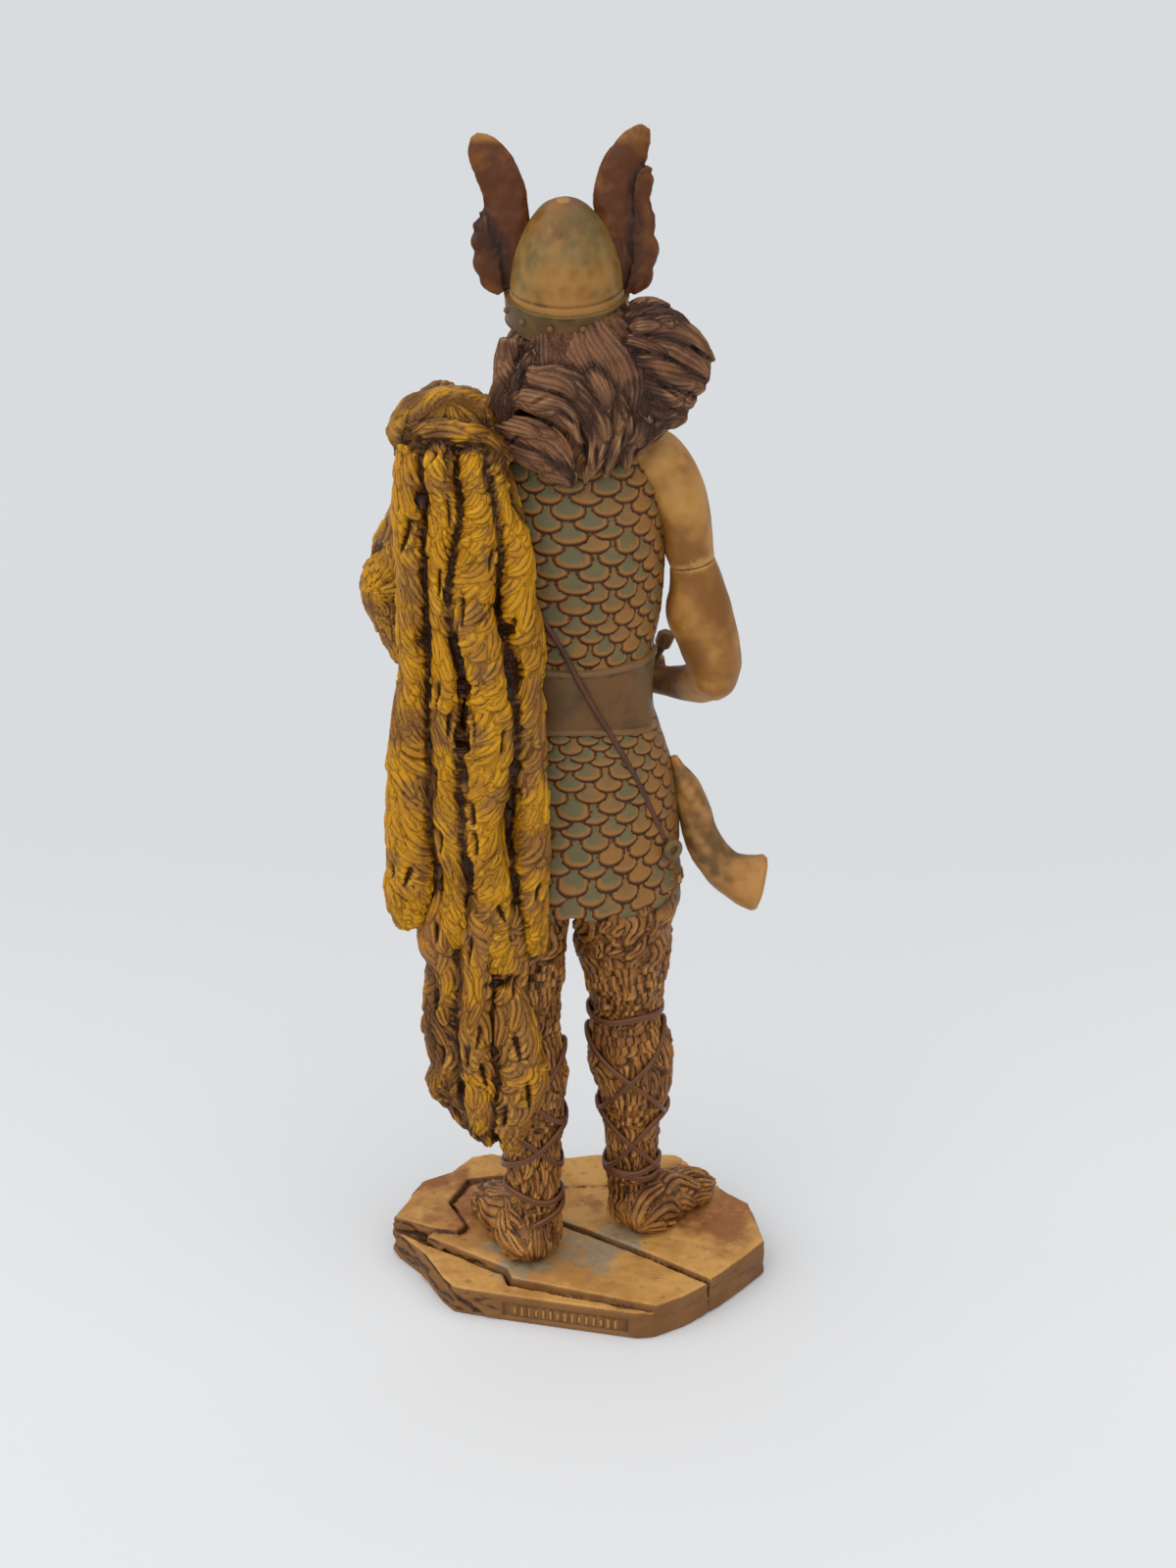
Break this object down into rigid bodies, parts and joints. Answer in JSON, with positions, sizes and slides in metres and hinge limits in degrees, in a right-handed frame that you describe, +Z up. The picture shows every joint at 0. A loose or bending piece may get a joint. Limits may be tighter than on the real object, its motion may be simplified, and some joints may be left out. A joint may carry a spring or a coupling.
{
  "type": "warrior figurine",
  "caption": "Moulded figurine of a Viking warrior in a winged helmet, scale armour and fur cloak, with a drinking horn, standing on a flagstone base.",
  "frame": {"origin": "middle of the base's flat underside", "axes": "+Z up through the figure; the figure faces -Y; +X is towards its left hand"},
  "size_m": [0.104, 0.0775, 0.3068],
  "materials": {
    "figure_paint": "matte",
    "skin_paint": "matte",
    "horn_paint": "satin",
    "stone_paint": "matte"
  },
  "bodies": {
    "root": {"warrior": "figure_paint", "right_arm": "skin_paint", "horn": "horn_paint", "base": "stone_paint"}
  },
  "joints": []
}
